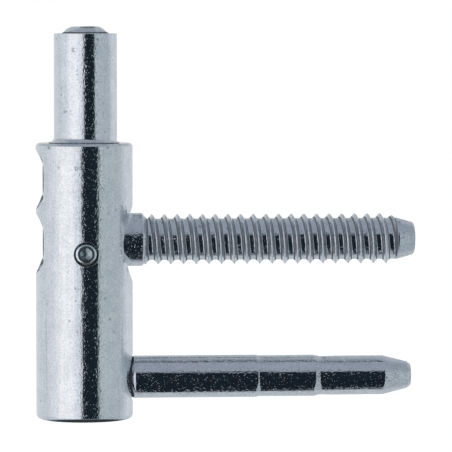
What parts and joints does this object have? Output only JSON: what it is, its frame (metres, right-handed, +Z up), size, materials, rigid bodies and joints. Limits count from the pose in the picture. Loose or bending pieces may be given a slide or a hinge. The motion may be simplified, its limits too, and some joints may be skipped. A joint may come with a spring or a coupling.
{
  "type": "drill-in hinge half",
  "caption": "Frame half of a drill-in door hinge: round barrel with an upright hinge pin on top, and a threaded pin and a smooth dowel standing out of its side.",
  "frame": {"origin": "on the hinge axis, where the running length of the hinge pin starts, 1.05 mm above the top face of the barrel", "axes": "+Z up along the hinge pin, +X along the threaded pin and the dowel towards the door frame, the clamp screw faces -Y"},
  "size_m": [0.0789, 0.02, 0.081],
  "materials": {
    "barrel_zinc": "blue-white zinc plating, satin to bright, fine pits",
    "pin_zinc": "blue-white zinc plating, bright, fine pits",
    "screw_zinc": "zinc plating, satin"
  },
  "bodies": {
    "root": {"barrel": "barrel_zinc", "hinge_pin": "pin_zinc", "threaded_pin": "pin_zinc", "dowel_pin": "pin_zinc", "pin_lock_screw": "screw_zinc", "clamp_screw": "screw_zinc"}
  },
  "joints": []
}
